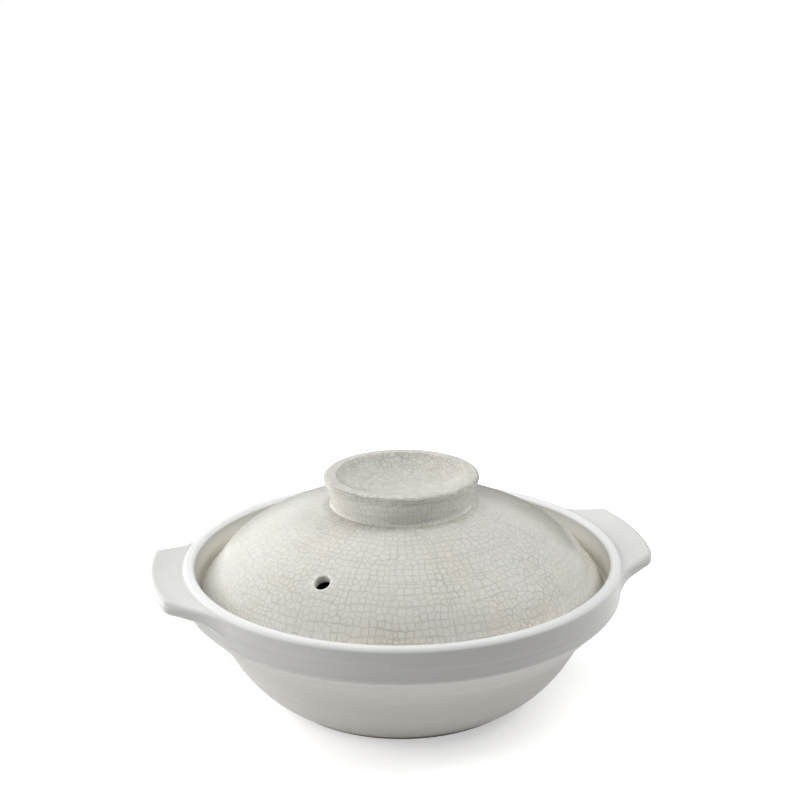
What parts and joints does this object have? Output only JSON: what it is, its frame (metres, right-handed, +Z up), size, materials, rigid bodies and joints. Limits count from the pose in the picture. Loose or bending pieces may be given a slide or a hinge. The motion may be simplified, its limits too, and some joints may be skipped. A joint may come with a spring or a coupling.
{
  "type": "donabe clay pot",
  "caption": "Round earthenware casserole with flat lug handles, an inner ledge, and a lift-off domed lid with a steam hole and a dished ring knob.",
  "frame": {"origin": "on the table, under the pot's axis, at the centre of the foot ring", "axes": "+Z up along the pot's axis, +X through the right-hand lug handle, the steam hole towards -X and -Y"},
  "size_m": [0.3002, 0.2622, 0.1332],
  "materials": {
    "white_glaze": "smooth white glaze, thin and nearly matt on the lower bowl",
    "crackle_glaze": "glossy ivory crackle glaze"
  },
  "bodies": {
    "pot": {"pot_bowl": "white_glaze", "handle_left": "white_glaze", "handle_right": "white_glaze"},
    "lid": {"lid_dome": "crackle_glaze", "lid_knob": "crackle_glaze"}
  },
  "joints": [
    {"name": "lid_lift", "type": "slide", "parent": "pot", "child": "lid", "axis": [0, 0, 1], "range_m": [0, 0.12]}
  ]
}
